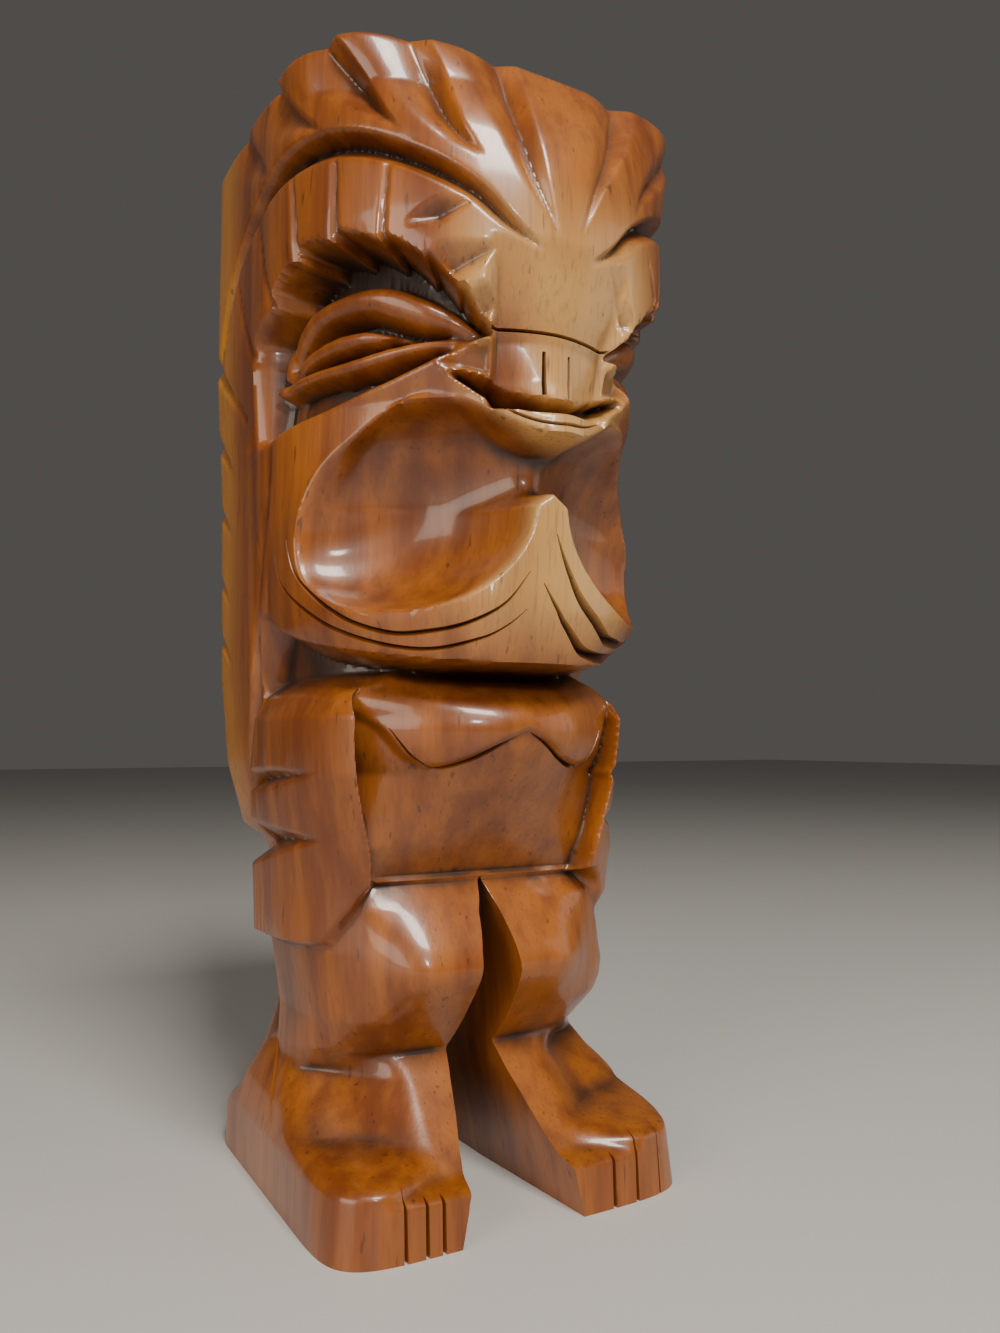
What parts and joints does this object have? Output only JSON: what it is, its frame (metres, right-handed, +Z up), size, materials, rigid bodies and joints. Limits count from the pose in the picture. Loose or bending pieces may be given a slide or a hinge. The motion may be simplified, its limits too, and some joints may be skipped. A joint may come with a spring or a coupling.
{
  "type": "tiki statue",
  "caption": "Small free-standing carved wooden tiki figure with a fluted crown, hooded eyes, a wide hollow mouth, arms at the sides and parted feet.",
  "frame": {"origin": "middle of the box round the figure, at the level of the soles", "axes": "+Z up from the soles to the crown, the face and toes point to -Y, +X is to the viewer's right"},
  "size_m": [0.08, 0.0866, 0.206],
  "materials": {
    "carved_wood": "gloss varnish over orange-brown heartwood"
  },
  "bodies": {
    "root": {"tiki_statue": "carved_wood"}
  },
  "joints": []
}
